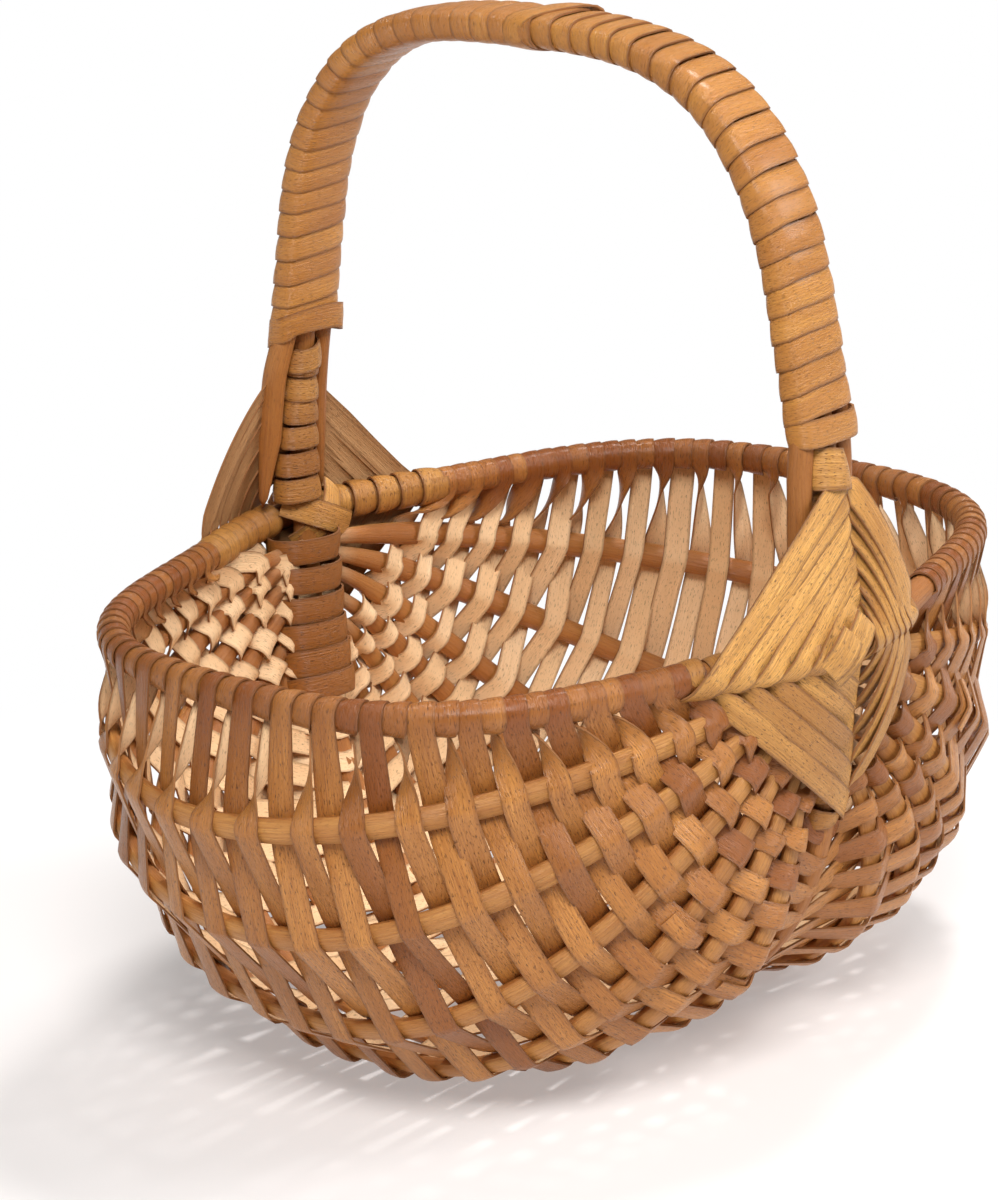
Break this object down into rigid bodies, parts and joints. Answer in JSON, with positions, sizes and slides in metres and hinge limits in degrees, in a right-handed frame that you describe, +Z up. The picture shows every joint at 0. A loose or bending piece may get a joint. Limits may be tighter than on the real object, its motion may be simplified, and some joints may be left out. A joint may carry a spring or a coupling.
{
  "type": "mushroom foraging basket",
  "caption": "Open oval willow basket with a ribbed frame, a weave of flat splints, diamond lashings where the hoops cross and a fixed bound hoop handle.",
  "frame": {"origin": "on the floor, under the middle of the basket", "axes": "+X along the basket's length, to one long end; +Y from one crossing of the hoops to the other; +Z up"},
  "size_m": [0.4, 0.3018, 0.3879],
  "materials": {
    "hoop": "peeled willow rod, satin",
    "rib": "split willow rod, dry satin",
    "weaver": "flat willow splint, satin outside and dry inside",
    "lashing": "flat willow splint, light and satin",
    "grip_rod": "peeled willow rod, satin",
    "binding": "flat willow splint, worn satin"
  },
  "bodies": {
    "root": {"rim_hoop": "hoop", "handle_hoop": "hoop", "rib_left_1": "rib", "rib_left_2": "rib", "rib_left_3": "rib", "rib_left_4": "rib", "rib_left_5": "rib", "rib_left_6": "rib", "rib_right_1": "rib", "rib_right_2": "rib", "rib_right_3": "rib", "rib_right_4": "rib", "rib_right_5": "rib", "rib_right_6": "rib", "weaver_1": "weaver", "weaver_2": "weaver", "weaver_3": "weaver", "weaver_4": "weaver", "weaver_5": "weaver", "weaver_6": "weaver", "crossing_lashing_near": "lashing", "crossing_lashing_far": "lashing", "grip_rod_left": "grip_rod", "grip_rod_right": "grip_rod", "grip_binding_near": "binding", "grip_binding_far": "binding"}
  },
  "joints": []
}
